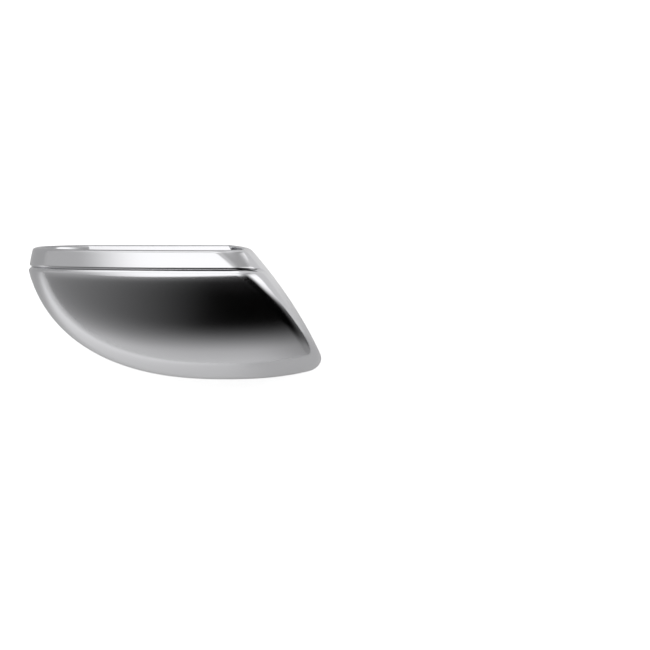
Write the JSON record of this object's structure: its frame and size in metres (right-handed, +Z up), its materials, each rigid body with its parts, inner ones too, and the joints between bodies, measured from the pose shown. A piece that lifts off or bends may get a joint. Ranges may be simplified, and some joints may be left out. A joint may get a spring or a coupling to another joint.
{
  "type": "wing mirror cover",
  "caption": "Satin chrome plated wing mirror cover: rounded shell with a banded rim round the mirror opening, a groove behind it and a ridge down the inboard side.",
  "frame": {"origin": "centre of the overall box in plan, at the level of the flat lower edge", "axes": "+X inboard towards the door, +Y to the rear where the mirror glass faces, +Z up"},
  "size_m": [0.2596, 0.1204, 0.1251],
  "materials": {
    "satin_chrome": "satin"
  },
  "bodies": {
    "root": {"cover_shell": "satin_chrome"}
  },
  "joints": []
}
